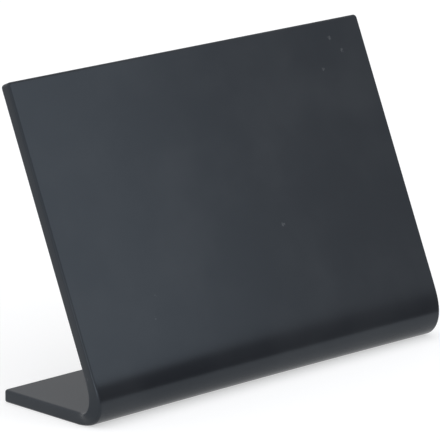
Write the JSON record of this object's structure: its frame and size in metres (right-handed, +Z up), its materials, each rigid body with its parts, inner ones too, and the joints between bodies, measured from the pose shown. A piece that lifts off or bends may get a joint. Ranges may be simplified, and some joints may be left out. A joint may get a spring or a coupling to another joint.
{
  "type": "tabletop chalkboard",
  "caption": "Small L-shaped tabletop chalkboard: a matte black acrylic sheet folded into a leaning writing panel over a flat foot that runs back under it.",
  "frame": {"origin": "middle of the board's plan, from the front of the fold to the foot's rear edge, at the height of the table", "axes": "+X along the board's width, -Y the way the writing panel faces, +Z up"},
  "size_m": [0.1062, 0.0302, 0.0705],
  "materials": {
    "matte_acrylic": "fine matte writing surface, near black with a cool grey cast"
  },
  "bodies": {
    "root": {"board_sheet": "matte_acrylic"}
  },
  "joints": []
}
